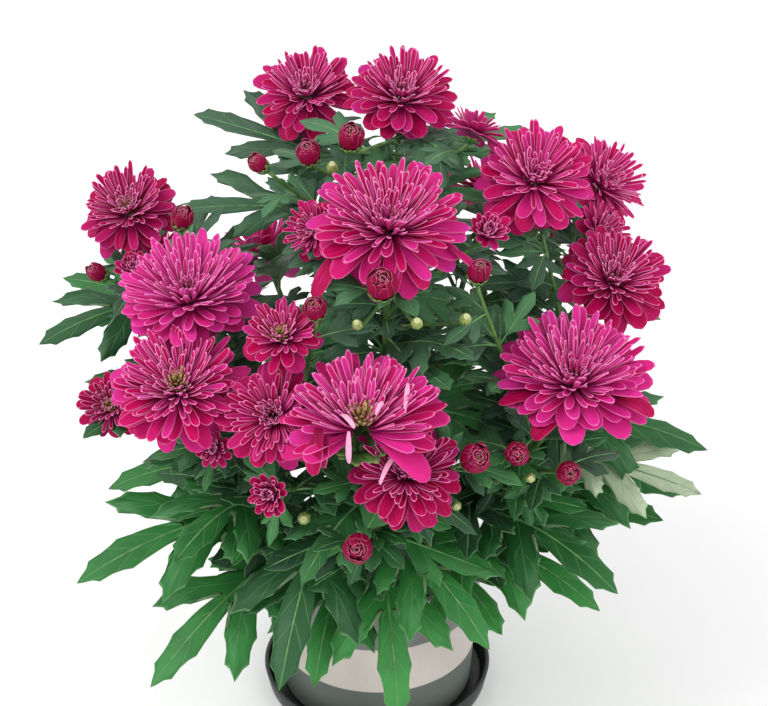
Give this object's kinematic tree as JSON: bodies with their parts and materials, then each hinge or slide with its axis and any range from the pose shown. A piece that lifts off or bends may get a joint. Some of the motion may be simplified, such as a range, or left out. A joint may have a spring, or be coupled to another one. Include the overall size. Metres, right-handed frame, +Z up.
{
  "type": "potted chrysanthemum",
  "caption": "Flowering chrysanthemum with magenta blooms, buds and lobed leaves, growing in a banded glazed pot that stands on a round black saucer.",
  "frame": {"origin": "centre of the saucer's flat underside, on the pot's axis", "axes": "+Z up along the pot's axis; -Y towards the side that the picture shows; +X to the right of that side"},
  "size_m": [0.356, 0.3436, 0.3811],
  "materials": {
    "saucer": "smooth black plastic with a soft sheen",
    "pot": "satin glaze in two greys with a wide cream band",
    "soil": "crumbly dark potting soil",
    "foliage": "soft green leaf, paler veins and underside",
    "petals": "soft magenta petal with a paler edge and reverse"
  },
  "bodies": {
    "root": {"saucer": "saucer", "pot": "pot", "soil": "soil", "leafy_stem_1": "foliage", "leafy_stem_2": "foliage", "leafy_stem_3": "foliage", "leafy_stem_4": "foliage", "leafy_stem_5": "foliage", "leafy_stem_6": "foliage", "leafy_stem_7": "foliage", "leafy_stem_8": "foliage", "leafy_stem_9": "foliage", "leafy_stem_10": "foliage", "bloom_1": "petals", "bloom_2": "petals", "bloom_3": "petals", "bloom_4": "petals", "bloom_5": "petals", "bloom_6": "petals", "bloom_7": "petals", "bloom_8": "petals", "bloom_9": "petals", "bloom_10": "petals", "bloom_11": "petals", "bloom_12": "petals", "bloom_13": "petals", "bloom_14": "petals", "bloom_15": "petals", "bloom_16": "petals", "bloom_17": "petals", "bloom_18": "petals", "bloom_19": "petals", "bloom_20": "petals", "bloom_21": "petals", "bloom_22": "petals", "bloom_23": "petals", "bloom_24": "petals", "bloom_25": "petals", "bud_1": "petals", "bud_2": "petals", "bud_3": "petals", "bud_4": "petals", "bud_5": "petals", "bud_6": "petals", "bud_7": "petals", "bud_8": "petals", "bud_9": "petals", "bud_10": "petals", "bud_11": "petals", "bud_12": "petals", "bud_13": "petals", "bud_14": "petals", "bud_15": "petals", "bud_16": "petals"}
  },
  "joints": []
}
